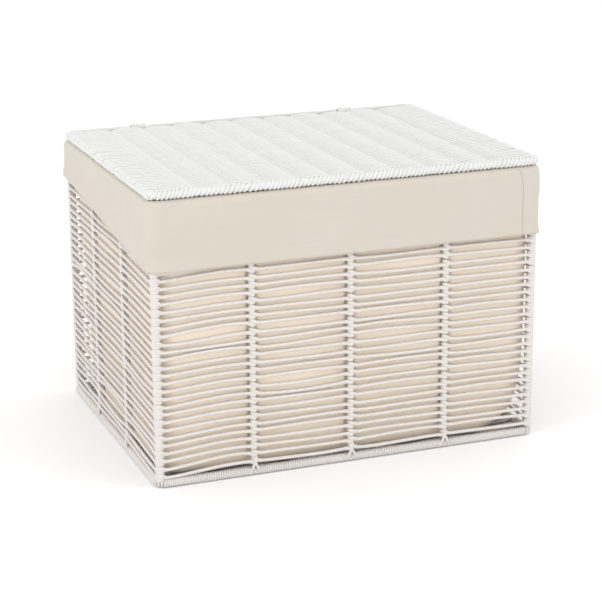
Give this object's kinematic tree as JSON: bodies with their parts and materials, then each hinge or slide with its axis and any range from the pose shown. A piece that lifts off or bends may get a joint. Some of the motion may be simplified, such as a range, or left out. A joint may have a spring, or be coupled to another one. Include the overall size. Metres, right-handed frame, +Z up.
{
  "type": "wicker storage trunk",
  "caption": "Rectangular storage trunk of white paper cord woven over a wire frame, with a cloth liner folded over the rim and a hinged woven lid.",
  "frame": {"origin": "on the floor under the middle of the basket", "axes": "+Z up, +X along the long side towards the right seen from the front, -Y towards the front, the hinge along the back rim at +Y"},
  "size_m": [0.503, 0.393, 0.3613],
  "materials": {
    "frame_wire": "white painted steel wire, satin",
    "wall_cord": "white twisted paper cord, matte",
    "lid_cord": "white twisted paper cord, matte, tightly woven",
    "binding_cord": "white twisted paper cord, matte, worn where it turns",
    "liner_cloth": "undyed cotton, plain weave, matte"
  },
  "bodies": {
    "basket": {"base_ring": "frame_wire", "rim_ring": "frame_wire", "corner_post_front_left": "frame_wire", "corner_post_front_right": "frame_wire", "corner_post_back_left": "frame_wire", "corner_post_back_right": "frame_wire", "stake_front_1": "frame_wire", "stake_front_2": "frame_wire", "stake_front_3": "frame_wire", "stake_back_1": "frame_wire", "stake_back_2": "frame_wire", "stake_back_3": "frame_wire", "stake_left_1": "frame_wire", "stake_left_2": "frame_wire", "stake_right_1": "frame_wire", "stake_right_2": "frame_wire", "base_rods_crosswise": "frame_wire", "base_rods_lengthwise": "frame_wire", "base_weave": "wall_cord", "base_wrap_front": "wall_cord", "base_wrap_back": "wall_cord", "base_wrap_left": "wall_cord", "base_wrap_right": "wall_cord", "rim_wrap_front": "wall_cord", "rim_wrap_back": "wall_cord", "rim_wrap_left": "wall_cord", "rim_wrap_right": "wall_cord", "weave_front": "wall_cord", "weave_back": "wall_cord", "weave_left": "wall_cord", "weave_right": "wall_cord", "liner_front": "liner_cloth", "liner_back": "liner_cloth", "liner_left": "liner_cloth", "liner_right": "liner_cloth", "liner_bottom": "liner_cloth", "cuff_front": "liner_cloth", "cuff_back": "liner_cloth", "cuff_left": "liner_cloth", "cuff_right": "liner_cloth"},
    "bindings": {"hinge_binding_left": "binding_cord", "hinge_binding_right": "binding_cord"},
    "lid": {"lid_frame": "frame_wire", "lid_ribs": "frame_wire", "lid_weave": "lid_cord", "lid_border_front": "lid_cord", "lid_border_back": "lid_cord", "lid_border_left": "lid_cord", "lid_border_right": "lid_cord"}
  },
  "joints": [
    {"name": "binding_turn", "type": "hinge", "parent": "basket", "child": "bindings", "pos_m": [0, 0.1895, 0.3415], "axis": [-1, 0, 0], "range_deg": [0, 85]},
    {"name": "lid_turn", "type": "hinge", "parent": "bindings", "child": "lid", "pos_m": [0, 0.1895, 0.3545], "axis": [-1, 0, 0], "range_deg": [0, 150]}
  ],
  "couplings": [
    {"joint": "binding_turn", "follows": "lid_turn", "ratio": 0.56666}
  ]
}
